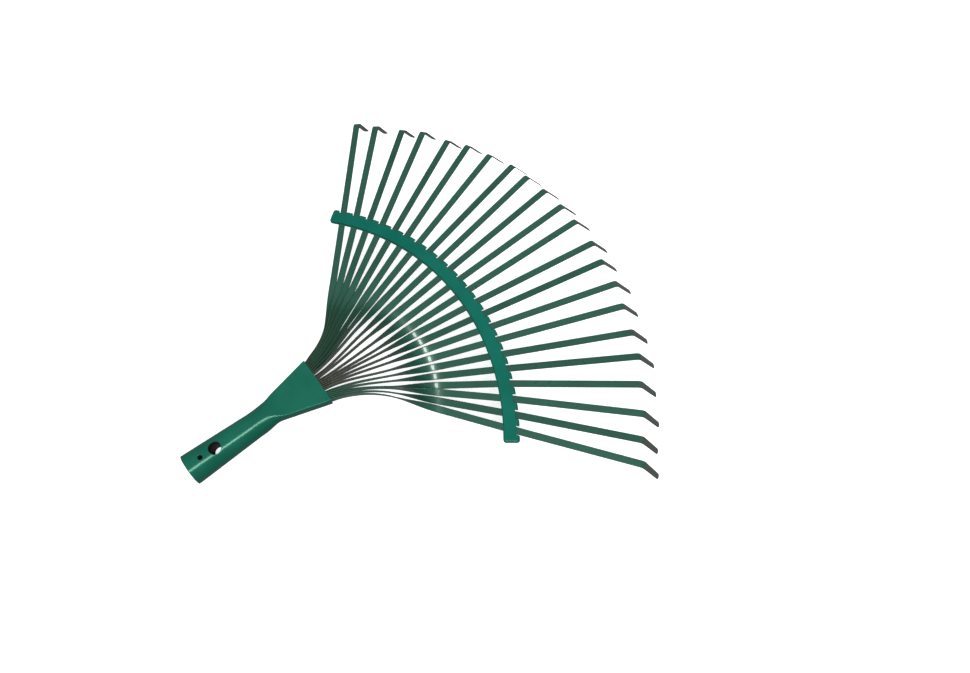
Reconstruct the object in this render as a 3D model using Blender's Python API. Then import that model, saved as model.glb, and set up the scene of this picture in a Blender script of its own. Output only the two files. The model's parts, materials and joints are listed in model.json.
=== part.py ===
"""Leaf rake head: a pole socket, twenty-two twisted flat tines and an arched crossbar.

The head is drawn in its own frame: the middle of the throat's front edge is the origin, +X runs
towards the tips, +Y is the left side and +Z the upper face of the fan. The throat and the pole
socket each have a pitch of their own in it, and the top of the socket runs on into the throat.
The whole frame is then pitched so that the head lies on the floor.

A side is a place across the fan: 1 is the outermost tine on the left, -1 the one on the right.
"""

import math

import bmesh
import bpy
from mathutils import Matrix, Vector

MM = 0.001
LEFT = Vector((0.0, 1.0, 0.0))
UP = Vector((0.0, 0.0, 1.0))

# Tines
TINE_COUNT = 22
TINE_WIDTH = 6.4 * MM
TINE_THICKNESS = 0.8 * MM
ELBOW_RADIUS = 302.0 * MM
ELBOW_SETBACK = 21.0 * MM
ELBOW_TURN = math.radians(48.0)
ELBOW_BEND = 4.0 * MM
TIP_LENGTH = 39.0 * MM
TIP_ANGLE = math.radians(60.0)
TIP_CORNER = 2.2 * MM
TWIST_LENGTH = 56.0 * MM

# Throat, which clamps the tine roots
ROOT_LENGTH = 29.0 * MM
ROOT_GAP = 0.5 * MM
THROAT_FLARE = math.radians(15.4)
THROAT_PITCH = math.radians(-4.0)
THROAT_CORNER = 1.8 * MM
THROAT_FLAT = 44.0 * MM

# Pole socket
SHEET = 1.0 * MM
SOCKET_LENGTH = 130.0 * MM
SOCKET_DIAMETER = 28.6 * MM
SOCKET_PITCH = math.radians(2.4)
NECK_DIAMETER = 23.0 * MM
NECK_DROP = 1.7 * MM
SHOULDER_LENGTH = 22.0 * MM
SCREW_HOLE = 4.2 * MM
SCREW_SETBACK = 14.0 * MM
HANGING_HOLE = 11.0 * MM
HANGING_SETBACK = 28.0 * MM

# Crossbar
BAR_RADIUS = 237.5 * MM
BAR_SETBACK = 85.7 * MM
BAR_TURN = math.radians(34.65)
BAR_WIDTH = 13.0 * MM
BAR_BEND = 1.2 * MM
BAR_OVERHANG = 11.8 * MM
BAR_END_CORNER = 2.5 * MM
END_WALL_DRAFT = 0.3 * MM
DISH_RADIUS = 940.0 * MM
FLANGE_DEPTH = 3.4 * MM
TAB_LENGTH = 1.9 * MM
TAB_ANGLE = math.radians(40.0)
TAB_CORNER = 1.3 * MM
TAB_CORNER_SHARE = 0.8
NOTCH_DEPTH = 0.4 * MM

# Fits
SEAT_CLEARANCE = 0.3 * MM
SIDE_CLEARANCE = 0.6 * MM
WEB_CLEARANCE = 0.5 * MM
TAB_CLEARANCE = 0.5 * MM
STRIP_CLEARANCE = 1.2 * MM
CUT_MARGIN = 2.0 * MM

# Facets
SPREAD_STEPS = 9
TWIST_STEPS = 8
ELBOW_STEPS = 4
BEND_STEPS = 2
SHOULDER_STEPS = 8
CORNER_STEPS = 4
DRILL_STEPS = 24
QUADRANT_STEPS = (2, 4, 4)
QUADRANT_ANGLES = (0.0, 18.0, 66.0, 90.0)
BAR_STEPS_PER_TINE = 2
SMOOTH_ANGLE = math.radians(35.0)

# Sizes that follow
MOUTH_X = -SOCKET_LENGTH
FLAT_X = -THROAT_FLAT
SHOULDER_X = FLAT_X - SHOULDER_LENGTH
FLARE = math.tan(THROAT_FLARE)
ROOT_SPAN = (TINE_COUNT - 1) / 2 * (TINE_THICKNESS + ROOT_GAP)
FRONT_SPAN = ROOT_SPAN + ROOT_LENGTH * FLARE
THROAT_HALF_WIDTH = FRONT_SPAN + TINE_THICKNESS / 2 + SIDE_CLEARANCE + SHEET
THROAT_HALF_HEIGHT = TINE_WIDTH / 2 + SEAT_CLEARANCE + SHEET
WINDOW_HALF_WIDTH = TINE_WIDTH / 2 + SEAT_CLEARANCE
WINDOW_HALF_HEIGHT = TINE_THICKNESS / 2 + SEAT_CLEARANCE
NOTCH_HALF_WIDTH = TINE_WIDTH / 2 + TAB_CLEARANCE
WEB_LEVEL = TINE_THICKNESS / 2 + WEB_CLEARANCE + SHEET / 2
BAR_REACH = BAR_RADIUS * BAR_TURN
BAR_END = 1 + BAR_OVERHANG / BAR_REACH

# Finish
GREEN_TUBE = (0.012, 0.130, 0.078, 1.0)
GREEN_BAR = (0.010, 0.140, 0.095, 1.0)
GREEN_STRIP = (0.020, 0.095, 0.058, 1.0)
TUBE_ROUGHNESS = 0.32
BAR_ROUGHNESS = 0.36
STRIP_ROUGHNESS = 0.42


def clear_scene():
    for item in list(bpy.data.objects):
        bpy.data.objects.remove(item)


def paint(name, colour, roughness):
    material = bpy.data.materials.new(name)
    material.use_nodes = True
    shader = material.node_tree.nodes["Principled BSDF"]
    shader.inputs["Base Color"].default_value = colour
    shader.inputs["Roughness"].default_value = roughness
    shader.inputs["Metallic"].default_value = 0.0
    return material


def skin(mesh, rings, loop=False):
    """Join rings of points with quads; a loop closes on itself, anything else gets end caps."""
    rows = [[mesh.verts.new(point) for point in ring] for ring in rings]
    pairs = list(zip(rows, rows[1:]))
    if loop:
        pairs.append((rows[-1], rows[0]))
    else:
        mesh.faces.new(rows[0])
        mesh.faces.new(rows[-1][::-1])
    for row, following in pairs:
        count = len(row)
        for here in range(count):
            there = (here + 1) % count
            mesh.faces.new((row[there], row[here], following[here], following[there]))


def add_object(name, bodies, frame, material=None, loop=False):
    """Make one object from lists of rings, one list for each body."""
    mesh = bmesh.new()
    for rings in bodies:
        skin(mesh, rings, loop)
    bmesh.ops.recalc_face_normals(mesh, faces=mesh.faces)
    data = bpy.data.meshes.new(name)
    mesh.to_mesh(data)
    mesh.free()
    item = bpy.data.objects.new(name, data)
    item.parent = frame
    bpy.context.collection.objects.link(item)
    if material:
        data.materials.append(material)
        data.shade_smooth()
        data.set_sharp_from_angle(angle=SMOOTH_ANGLE)
    return item


def cut(item, name, bodies, frame):
    """Take the bodies away from the item, keeping the cutter as a hidden guide."""
    cutter = add_object(name, bodies, frame)
    cutter.hide_render = True
    cutter.display_type = "WIRE"
    boolean = item.modifiers.new(name, "BOOLEAN")
    boolean.operation = "DIFFERENCE"
    boolean.solver = "EXACT"
    boolean.object = cutter


def ease(share):
    return share * share * (3 - 2 * share)


def blend(first, second, share):
    return first + (second - first) * share


def steps(first, last, count):
    return [blend(first, last, step / count) for step in range(count + 1)]


def heading_vector(heading):
    return Vector((math.cos(heading), math.sin(heading), 0.0))


def pitch_vector(pitch):
    return Vector((math.cos(pitch), 0.0, math.sin(pitch)))


def corner_inset(distance, corner):
    """How far a rounded end's side has drawn in at a distance from the end."""
    left = max(corner - distance, 0.0)
    return corner - math.sqrt(corner * corner - left * left)


def end_distances(corner):
    """Distances from an end at which its rounded corner gets a ring, nearest last."""
    angles = steps(0.0, math.pi / 2, CORNER_STEPS)
    return [corner * (1 - math.sin(angle)) for angle in angles]


# Lay of the socket


def throat_point(place):
    """The middle of the throat at a place behind its front edge."""
    return pitch_vector(THROAT_PITCH) * place


def throat_up():
    return pitch_vector(THROAT_PITCH + math.pi / 2)


def tube_point(place):
    """The middle of the pole socket at a place behind the throat's front edge."""
    neck = Vector((SHOULDER_X, 0.0, -NECK_DROP))
    return neck + pitch_vector(SOCKET_PITCH) * (place - SHOULDER_X)


def tube_up():
    return pitch_vector(SOCKET_PITCH + math.pi / 2)


# Lay of the fan


def arch_point(side):
    """The middle of the crossbar at a side: an arch in plan that also sags towards its ends."""
    place = heading_vector(side * BAR_TURN) * BAR_RADIUS
    sag = place.y * place.y / (2 * DISH_RADIUS)
    return place - Vector((BAR_SETBACK, 0.0, sag))


def arch_tangent(side):
    turn = side * BAR_TURN
    slope = BAR_RADIUS * math.sin(turn) * math.cos(turn) / DISH_RADIUS
    return Vector((-math.sin(turn), math.cos(turn), -slope)).normalized()


def elbow_plan(side):
    return heading_vector(side * ELBOW_TURN) * ELBOW_RADIUS - Vector((ELBOW_SETBACK, 0.0, 0.0))


class Course:
    """The straight run of a tine at a side: through the crossbar's window and out to the elbow."""

    def __init__(self, side):
        self.front = LEFT * side * FRONT_SPAN
        self.front_ahead = (pitch_vector(THROAT_PITCH) + LEFT * side * FLARE).normalized()
        self.window = arch_point(side)
        self.plan = self.window - UP * self.window.z
        run = elbow_plan(side) - self.plan
        droop = math.atan2(-self.window.z, (self.plan - self.front).length)
        self.ahead = run.normalized() * math.cos(droop) - UP * math.sin(droop)
        tangent = arch_tangent(side)
        self.face = self.ahead.cross(tangent).normalized()
        self.outward = tangent.cross(self.face)
        self.skew = math.atan2(self.ahead.dot(tangent), self.ahead.dot(self.outward))
        self.elbow_distance = run.length / math.cos(droop)

    def at(self, distance):
        """The point on the run at a distance beyond the window."""
        return self.window + self.ahead * distance

    def distance_to(self, radius):
        """The distance at which the run is a radius away from the throat in plan."""
        flow = self.ahead.xy
        along = self.plan.xy.dot(flow)
        spare = self.plan.length_squared - radius * radius
        return (math.sqrt(along * along - flow.length_squared * spare) - along) / flow.length_squared

    def spacing(self, other, distance):
        """How far to the side of this run another run lies at a distance."""
        across = self.face.cross(self.ahead)
        apart = other.window - self.at(distance)
        level = apart - other.ahead * (apart.dot(self.ahead) / other.ahead.dot(self.ahead))
        return abs(level.dot(across))

    def station(self, distance, roll=0.0):
        return Station(self.at(distance), self.ahead, self.face, roll)

    def bent_station(self, corner, along, drop, bend, width):
        """A cross-section beyond the elbow's corner, turned down by a bend."""
        centre = corner + self.ahead * along - self.face * drop
        ahead = self.ahead * math.cos(bend) - self.face * math.sin(bend)
        face = self.face * math.cos(bend) + self.ahead * math.sin(bend)
        return Station(centre, ahead, face, width=width)


class Station:
    """One cross-section of a tine: its centre, direction, upper face, roll and width."""

    def __init__(self, centre, ahead, face, roll=0.0, width=TINE_WIDTH):
        left = face.cross(ahead)
        self.centre = centre
        self.across = left * math.cos(roll) + face * math.sin(roll)
        self.through = face * math.cos(roll) - left * math.sin(roll)
        self.width = width

    def outline(self, places):
        """Points of an (across, level) outline drawn on this cross-section."""
        return [self.centre + self.across * across + self.through * level for across, level in places]

    def ring(self):
        return self.outline(rectangle(self.width / 2, TINE_THICKNESS / 2))


def rectangle(half_width, half_height):
    return [(half_width, half_height), (-half_width, half_height),
            (-half_width, -half_height), (half_width, -half_height)]


def tine_side(order):
    return 1 - 2 * order / (TINE_COUNT - 1)


# Tines


def twist_radius():
    """How far from the throat the outermost runs, the closest pair, are apart enough to lie flat."""
    outer, inner = Course(tine_side(0)), Course(tine_side(1))
    far = outer.elbow_distance
    at_window = outer.spacing(inner, 0.0)
    at_elbow = outer.spacing(inner, far)
    apart = TINE_WIDTH + STRIP_CLEARANCE
    return outer.at(far * (apart - at_window) / (at_elbow - at_window)).xy.length


def twist_distances(course):
    """Distances along the run at which the twist starts and ends."""
    last = twist_radius()
    return course.distance_to(last - TWIST_LENGTH), course.distance_to(last)


def root_station(course):
    slant = course.front_ahead.dot(pitch_vector(THROAT_PITCH))
    back = course.front - course.front_ahead * (ROOT_LENGTH / slant)
    return Station(back, course.front_ahead, throat_up(), math.pi / 2)


def spread_stations(course):
    """The bow from the throat to the start of the twist, standing on edge."""
    front = course.front
    end = course.at(twist_distances(course)[0])
    reach = (end - front).length
    first_pull = course.front_ahead * reach
    last_pull = course.ahead * reach
    stations = []
    for share in steps(0.0, 1.0, SPREAD_STEPS)[:-1]:
        rest = 1 - share
        centre = front * (rest * rest * (1 + 2 * share)) + end * ease(share)
        centre += first_pull * (share * rest * rest) - last_pull * (share * share * rest)
        flow = (end - front) * (6 * share * rest) + first_pull * (rest * (1 - 3 * share))
        flow += last_pull * (share * (3 * share - 2))
        ahead = flow.normalized()
        left = blend(throat_up(), course.face, share).cross(ahead).normalized()
        stations.append(Station(centre, ahead, ahead.cross(left), math.pi / 2))
    return stations


def twist_stations(course):
    first, last = twist_distances(course)
    return [course.station(blend(first, last, share), math.pi / 2 * (1 - ease(share)))
            for share in steps(0.0, 1.0, TWIST_STEPS)]


def elbow_stations(course):
    corner = course.at(course.elbow_distance)
    setback = ELBOW_BEND * math.tan(TIP_ANGLE / 2)
    stations = []
    for bend in steps(0.0, TIP_ANGLE, ELBOW_STEPS):
        along = ELBOW_BEND * math.sin(bend) - setback
        drop = ELBOW_BEND * (1 - math.cos(bend))
        stations.append(course.bent_station(corner, along, drop, bend, TINE_WIDTH))
    return stations


def tip_stations(course):
    corner = course.at(course.elbow_distance)
    stations = []
    for distance in end_distances(TIP_CORNER):
        along = (TIP_LENGTH - distance) * math.cos(TIP_ANGLE)
        drop = (TIP_LENGTH - distance) * math.sin(TIP_ANGLE)
        width = TINE_WIDTH - 2 * corner_inset(distance, TIP_CORNER)
        stations.append(course.bent_station(corner, along, drop, TIP_ANGLE, width))
    return stations


def add_tine(order, frame, material):
    course = Course(tine_side(order))
    stations = [root_station(course)] + spread_stations(course) + twist_stations(course)
    stations += elbow_stations(course) + tip_stations(course)
    rings = [station.ring() for station in stations]
    return add_object(f"tine_{order + 1:02d}", [rings], frame, material)


# Socket


def quadrant_angles():
    """Angles of one quarter of the socket's rings: side, corner and top, shared out in steps."""
    angles = []
    for part, count in enumerate(QUADRANT_STEPS):
        angles += steps(QUADRANT_ANGLES[part], QUADRANT_ANGLES[part + 1], count)[:-1]
    return [math.radians(angle) for angle in angles] + [math.pi / 2]


def round_quarter(radius):
    return [(radius * math.cos(angle), radius * math.sin(angle)) for angle in quadrant_angles()]


def flat_quarter(half_width, half_height, corner):
    """A quarter of a rounded rectangle with the same number of points as the round one."""
    side, turn, top = QUADRANT_STEPS
    points = [(half_width, height) for height in steps(0.0, half_height - corner, side)[:-1]]
    for angle in steps(0.0, math.pi / 2, turn)[:-1]:
        points.append((half_width - corner + corner * math.cos(angle),
                       half_height - corner + corner * math.sin(angle)))
    points += [(width, half_height) for width in steps(half_width - corner, 0.0, top)]
    return points


def full_ring(quarter, centre, up):
    """Mirror a quarter into a closed ring round a centre."""
    half = quarter + [(-width, height) for width, height in quarter[-2::-1]]
    whole = half + [(width, -height) for width, height in half[-2:0:-1]]
    return [centre + LEFT * width + up * height for width, height in whole]


def socket_ring(place, inset):
    """The socket's outline at a place, drawn in by an inset: round, flat or between the two."""
    taper = min((place - MOUTH_X) / (SHOULDER_X - MOUTH_X), 1.0)
    radius = blend(SOCKET_DIAMETER, NECK_DIAMETER, taper) / 2 - inset
    half_width = max(THROAT_HALF_WIDTH + place * FLARE, NECK_DIAMETER / 2) - inset
    flat = flat_quarter(half_width, THROAT_HALF_HEIGHT - inset, THROAT_CORNER - inset)
    share = ease(min(max((place - SHOULDER_X) / SHOULDER_LENGTH, 0.0), 1.0))
    quarter = []
    for around, across in zip(round_quarter(radius), flat):
        quarter.append((blend(around[0], across[0], share), blend(around[1], across[1], share)))
    centre = blend(tube_point(place), throat_point(place), share)
    return full_ring(quarter, centre, blend(tube_up(), throat_up(), share).normalized())


def drill(place, diameter, low, high):
    """A round cutter square to the pole socket's centre line."""
    angles = [math.tau * step / DRILL_STEPS for step in range(DRILL_STEPS)]
    return [[tube_point(place + math.cos(angle) * diameter / 2) + LEFT * math.sin(angle) * diameter / 2
             + tube_up() * level for angle in angles] for level in (low, high)]


def add_socket(frame, material):
    places = [MOUTH_X] + steps(SHOULDER_X, FLAT_X, SHOULDER_STEPS) + [0.0]
    outer = [socket_ring(place, 0.0) for place in places]
    inner = [socket_ring(place, SHEET) for place in reversed(places)]
    socket = add_object("socket", [outer + inner], frame, material, loop=True)
    clear = SOCKET_DIAMETER / 2 + CUT_MARGIN
    hanging = drill(MOUTH_X + HANGING_SETBACK, HANGING_HOLE, -clear, clear)
    screw = drill(MOUTH_X + SCREW_SETBACK, SCREW_HOLE, 0.0, clear)
    cut(socket, "socket_holes", [hanging, screw], frame)
    return socket


# Crossbar


def bar_sheet(inset):
    """Centre line of the channel's sheet as (out, level, lean), lean being its outer normal's turn.

    It runs up the inner flange, over the web and down the tabs.
    """
    inner = -BAR_WIDTH / 2 + SHEET / 2 + inset
    outer = BAR_WIDTH / 2 - BAR_BEND * math.sin(TAB_ANGLE) - inset
    bend_level = WEB_LEVEL - BAR_BEND
    line = [(inner, WEB_LEVEL - FLANGE_DEPTH, -math.pi / 2)]
    for lean in steps(-math.pi / 2, 0.0, BEND_STEPS):
        line.append((inner + BAR_BEND + BAR_BEND * math.sin(lean),
                     bend_level + BAR_BEND * math.cos(lean), lean))
    for lean in steps(0.0, TAB_ANGLE, BEND_STEPS):
        line.append((outer + BAR_BEND * math.sin(lean),
                     bend_level + BAR_BEND * math.cos(lean), lean))
    out, level, lean = line[-1]
    line.append((out + TAB_LENGTH * math.cos(lean), level - TAB_LENGTH * math.sin(lean), lean))
    return line


def bar_outline(inset, solid):
    """The channel's closed outline as (out, level), or that of the end wall, which is solid below."""
    upper = []
    lower = []
    for out, level, lean in bar_sheet(inset):
        reach = math.sin(lean) * SHEET / 2
        rise = math.cos(lean) * SHEET / 2
        upper.append((out + reach, level + rise))
        lower.append((out - reach, level - rise))
    if solid:
        shares = steps(0.0, 1.0, len(lower) - 1)
        lower = [tuple(blend(first, last, share) for first, last in zip(lower[0], lower[-1]))
                 for share in shares]
    return upper + lower[::-1]


def bar_ring(side, inset, solid=False):
    course = Course(side)
    return [course.window + course.outward * out + course.face * level
            for out, level in bar_outline(inset, solid)]


def end_rings(hand):
    """Rings of the bar's left (1) or right (-1) end, outermost last: a rounded end with a wall."""
    rounded = end_distances(BAR_END_CORNER)
    hollow = [distance for distance in rounded if distance > SHEET + END_WALL_DRAFT]
    wall = [distance for distance in rounded if distance < SHEET]
    places = [(distance, False) for distance in hollow + [SHEET + END_WALL_DRAFT]]
    places += [(distance, True) for distance in [SHEET] + wall]
    rings = []
    for distance, solid in places:
        side = hand * (BAR_END - distance / BAR_REACH)
        rings.append(bar_ring(side, corner_inset(distance, BAR_END_CORNER), solid))
    return rings


def bar_rings():
    straight = BAR_END - BAR_END_CORNER / BAR_REACH
    count = (TINE_COUNT - 1) * BAR_STEPS_PER_TINE
    middle = [bar_ring(side, 0.0) for side in steps(-straight, straight, count)[1:-1]]
    return end_rings(-1)[::-1] + middle + end_rings(1)


def notch_outline(course):
    """The gap between two tabs as (along, across) a tine's run, opening out round their corners."""
    slope = math.tan(course.skew)
    end = bar_sheet(0.0)[-1][0]
    pitch = (BAR_RADIUS + end) * BAR_TURN * 2 / (TINE_COUNT - 1) * math.cos(course.skew)
    corner = min(TAB_CORNER, TAB_CORNER_SHARE * (pitch / 2 - NOTCH_HALF_WIDTH))
    sides = []
    for hand in (1, -1):
        places = [(BAR_WIDTH / 2 - NOTCH_DEPTH, NOTCH_HALF_WIDTH)]
        for angle in steps(0.0, math.pi / 2, CORNER_STEPS):
            places.append((end - corner * (1 - math.sin(angle)),
                           NOTCH_HALF_WIDTH + corner * (1 - math.cos(angle))))
        places.append((end + CUT_MARGIN, NOTCH_HALF_WIDTH + corner))
        sides.append([(out / math.cos(course.skew) + hand * across * slope, hand * across)
                      for out, across in places])
    return sides[0] + sides[1][::-1]


def add_crossbar(frame, material):
    bar = add_object("crossbar", [bar_rings()], frame, material)
    windows = []
    notches = []
    inner = -BAR_WIDTH / 2
    top = WEB_LEVEL + SHEET / 2 + CUT_MARGIN
    bottom = bar_sheet(0.0)[-1][1] - SHEET / 2 - CUT_MARGIN
    for order in range(TINE_COUNT):
        course = Course(tine_side(order))
        hole = rectangle(WINDOW_HALF_WIDTH, WINDOW_HALF_HEIGHT)
        windows.append([course.station(distance).outline(hole)
                        for distance in (inner - CUT_MARGIN, inner + SHEET + CUT_MARGIN)])
        across = course.station(0.0).across
        notches.append([[course.at(along) + across * aside + course.face * level
                         for along, aside in notch_outline(course)] for level in (bottom, top)])
    cut(bar, "tine_windows", windows, frame)
    cut(bar, "tab_notches", notches, frame)
    return bar


# Rest on the floor


def rest_on_floor(frame, parts):
    """Pitch the head onto its socket mouth and outer tips, and centre it over the floor's origin."""
    points = [vertex.co for part in parts for vertex in part.data.vertices]
    heel = tube_point(MOUTH_X) - tube_up() * SOCKET_DIAMETER / 2
    toes = [point for point in points if point.x > 0.0]
    pitch = max(math.atan2(heel.z - toe.z, toe.x - heel.x) for toe in toes)
    turn = Matrix.Rotation(-pitch, 3, "Y")
    turned = [turn @ point for point in points]
    low = [min(point[axis] for point in turned) for axis in range(3)]
    high = [max(point[axis] for point in turned) for axis in range(3)]
    frame.rotation_euler = turn.to_euler()
    frame.location = (-(low[0] + high[0]) / 2, -(low[1] + high[1]) / 2, -low[2])


def main():
    clear_scene()
    frame = bpy.data.objects.new("head_frame", None)
    bpy.context.collection.objects.link(frame)
    strip = paint("tine_paint", GREEN_STRIP, STRIP_ROUGHNESS)
    parts = [add_tine(order, frame, strip) for order in range(TINE_COUNT)]
    parts.append(add_socket(frame, paint("socket_paint", GREEN_TUBE, TUBE_ROUGHNESS)))
    parts.append(add_crossbar(frame, paint("crossbar_paint", GREEN_BAR, BAR_ROUGHNESS)))
    rest_on_floor(frame, parts)


main()
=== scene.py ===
"""Leaf rake head on a pale floor: green enamel on a sheet-steel socket, a crossbar and strip tines.

The pieces are drawn in the head's own frame, as in the CAD model: the origin is the middle of the
throat's front edge, +X runs towards the tips, +Y is the left side and +Z the upper face of the fan.
The throat and the pole socket each have a pitch of their own in it. A side is a place across the
fan: 1 is the outermost tine on the left, -1 the one on the right.
"""

import json
import math
import random

import bmesh
import bpy
from mathutils import Matrix, Vector
from mathutils.kdtree import KDTree


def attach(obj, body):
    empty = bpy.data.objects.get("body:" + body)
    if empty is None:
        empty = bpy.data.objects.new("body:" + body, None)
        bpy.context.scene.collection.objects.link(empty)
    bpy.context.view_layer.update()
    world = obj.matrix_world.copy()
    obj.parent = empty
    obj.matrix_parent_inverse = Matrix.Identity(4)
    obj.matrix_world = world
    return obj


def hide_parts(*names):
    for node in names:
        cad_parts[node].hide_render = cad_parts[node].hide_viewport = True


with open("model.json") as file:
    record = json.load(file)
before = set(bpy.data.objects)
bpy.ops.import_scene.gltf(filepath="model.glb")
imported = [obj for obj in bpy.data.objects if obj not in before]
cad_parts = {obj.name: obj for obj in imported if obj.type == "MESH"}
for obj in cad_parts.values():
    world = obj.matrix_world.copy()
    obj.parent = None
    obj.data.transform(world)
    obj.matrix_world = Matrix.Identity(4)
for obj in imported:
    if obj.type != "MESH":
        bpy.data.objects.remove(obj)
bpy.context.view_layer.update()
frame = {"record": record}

MM = 0.001
LEFT = Vector((0.0, 1.0, 0.0))
UP = Vector((0.0, 0.0, 1.0))

# Tines
TINE_COUNT = 22
TINE_WIDTH = 6.4 * MM
TINE_THICKNESS = 0.8 * MM
ROLLED_EDGE = 0.3 * MM
ELBOW_RADIUS = 302.0 * MM
ELBOW_SETBACK = 21.0 * MM
ELBOW_TURN = math.radians(48.0)
ELBOW_BEND = 5.0 * MM
TIP_LENGTH = 36.5 * MM
TIP_ANGLE = math.radians(62.0)
TIP_CORNER = 2.2 * MM
TIP_TAPER = 0.8
TWIST_LENGTH = 56.0 * MM
TWIST_DELAY = 12.0 * MM
BOW_LEAN = math.radians(7.0)
LEFT_LEAN = math.radians(-22.0)
LEAN_CHANGE = (0.3, 0.65)
BOW_RISE = 0.2
BOW_LENGTH = 100.0 * MM

# How use has bent each tine from the left, in millimetres: to the left at the elbow,
# to the left in the bow, and outwards at the elbow
TINE_BENDS = ((-0.5, 0.6, 3.5), (3.3, 0.6, 1.0), (-1.4, 1.2, -1.0), (0.8, 1.8, 1.0),
              (-3.8, 2.4, -2.0), (-1.8, 1.5, 0.0), (-3.0, 2.0, 0.0), (-5.5, 2.3, 1.5),
              (-1.0, 1.0, 0.0), (-0.5, 0.6, 0.0), (-0.5, -1.5, 0.0), (2.2, -2.4, -0.5),
              (-1.8, -1.0, 0.0), (1.0, -0.9, -2.0), (-0.4, -0.5, 0.0), (0.5, -1.5, -2.0),
              (-2.0, -1.2, -1.0), (-1.2, -0.8, 0.0), (-3.0, -1.0, -1.5), (-5.5, 2.0, 0.0),
              (-4.5, 2.2, 0.0), (-1.2, 2.0, 3.0))

# Bundles in which the tines leave the throat: first and last tine from the left, the place that
# they crowd towards, and how far their bow is tinted brown-grey rather than deep green
BUNDLES = ((1, 8, 1.0, 0.5), (9, 10, 8.0, 1.0), (11, 16, 14.0, 1.0), (17, 22, 22.0, 0.0))
BUNDLE_CROWDING = 0.3 * MM

# Throat, which clamps the tine roots
ROOT_LENGTH = 29.0 * MM
ROOT_GAP = 0.5 * MM
THROAT_FLARE = math.radians(15.4)
THROAT_PITCH = math.radians(-4.0)
THROAT_CORNER = 1.1 * MM
THROAT_FLAT = 44.0 * MM

# Sheet of the socket and the crossbar
SHEET = 1.0 * MM
CUT_EDGE = 0.22 * MM
CUT_EDGE_ANGLE = math.radians(55.0)

# Pole socket
SOCKET_LENGTH = 130.0 * MM
SOCKET_DIAMETER = 28.6 * MM
SOCKET_PITCH = math.radians(2.4)
NECK_DIAMETER = 23.0 * MM
NECK_DROP = 1.7 * MM
NECK_PINCH = 1.6 * MM
NECK_SWEEP = 1.2 * MM
SHOULDER_LENGTH = 22.0 * MM
SHOULDER_WAIT = 12.0 * MM
SHOULDER_RUNOUT = 5.0 * MM
SHOULDER_LIFT = 4.0 * MM
SCREW_HOLE = 4.2 * MM
SCREW_SETBACK = 14.0 * MM
SCREW_PATCH = 4.0 * MM
HANGING_HOLE = 11.0 * MM
HANGING_SETBACK = 28.0 * MM
HANGING_PATCH = 8.0 * MM
HOLE_TURN = math.radians(8.0)

# Crossbar
BAR_RADIUS = 237.5 * MM
BAR_SETBACK = 85.7 * MM
BAR_TURN = math.radians(34.65)
BAR_WIDTH = 13.0 * MM
BAR_BEND = 1.2 * MM
BAR_OVERHANG = 11.8 * MM
BAR_END_CORNER = 2.5 * MM
DISH_RADIUS = 940.0 * MM
FLANGE_DEPTH = 3.4 * MM
TAB_LENGTH = 1.6 * MM
TAB_ANGLE = math.radians(45.0)
TAB_CORNER = 1.3 * MM
NOTCH_DEPTH = 1.5 * MM

# Fits
SEAT_CLEARANCE = 0.3 * MM
SIDE_CLEARANCE = 0.6 * MM
WEB_CLEARANCE = 0.5 * MM
TAB_CLEARANCE = 0.5 * MM
STRIP_CLEARANCE = 1.2 * MM

# Grain of the finishes: grains to a metre, then octaves of detail
SHEET_CLOUD = (38.0, 3.0)
SHEET_PEEL = (520.0, 2.0)
SHEET_GRIT = (1500.0, 1.0)
SHEET_FLAKE = (420.0, 3.0)
BACK_CLOUD = (90.0, 4.0)
BACK_GRAIN = (700.0, 2.0)
STRIP_CLOUD = (60.0, 3.0)
STRIP_PEEL = (600.0, 2.0)
STRIP_GRAIN = (900.0, 2.0)
FLOOR_CLOUD = (3.0, 3.0)

# Levels of the grain between which a feature of the finish sets in
SHEET_COAT = (0.3, 0.7)
SHEET_NIBS = (0.70, 0.76)
SHEET_CHIPS = (0.50, 0.60)
BACK_COAT = (0.35, 0.65)
STRIP_COAT = (0.3, 0.8)

# Shares of a strip's half width between which its coat thins and its gloss fades
EDGE_WEAR = (0.93, 0.985)
EDGE_WAVER = 0.10
GLOSS_FADE = (0.35, 0.85)

# Lengths over which the finishes wear, the bow is tinted and the tips take their painted
# reflection, how far the grain makes them waver, and depths of relief
RIM_WEAR = (0.1 * MM, 0.7 * MM)
RIM_WAVER = 1.2 * MM
BOW_TINT_SPAN = (185.0 * MM, 235.0 * MM)
BOW_WAVER = 30.0 * MM
TIP_SCUFF_AND_REFLECTION = (-3.0 * MM, 7.0 * MM)
TIP_WAVER = 14.0 * MM
SHEET_RELIEF = 0.12 * MM
BACK_RELIEF = 0.10 * MM
STRIP_RELIEF = 0.10 * MM

# Marks that a strip carries for its finish
STRIP_MARKS = ("across", "past_elbow", "tone", "bow_brown_share")
TONE_SEED = 7

# Studio, in metres, watts and degrees where the name doesn't say otherwise
FLOOR_REACH = 6.0
OVERHEAD_PLACE = (0.1, 0.2, 3.0)
OVERHEAD_TARGET = (0.1, 0.2, 0.0)
OVERHEAD_SIZE = (4.0, 4.0)
OVERHEAD_POWER = 76.0
KEY_PLACE = (-0.42, -0.90, 1.55)
KEY_TARGET = (-0.12, 0.0, 0.0)
KEY_SIZE = (0.9, 0.34)
KEY_POWER = 18.0
SKY_STRENGTH = 0.22
CAMERA_PLACE = (-0.21461, -0.3915, 0.8385)
CAMERA_TURN = (30.0223, -2.6607, -36.8002)
CAMERA_SHIFT_SHARES = (-0.02613, -0.0259)
CAMERA_LENS_MM = 37.527
CAMERA_SENSOR_MM = 36.0

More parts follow.
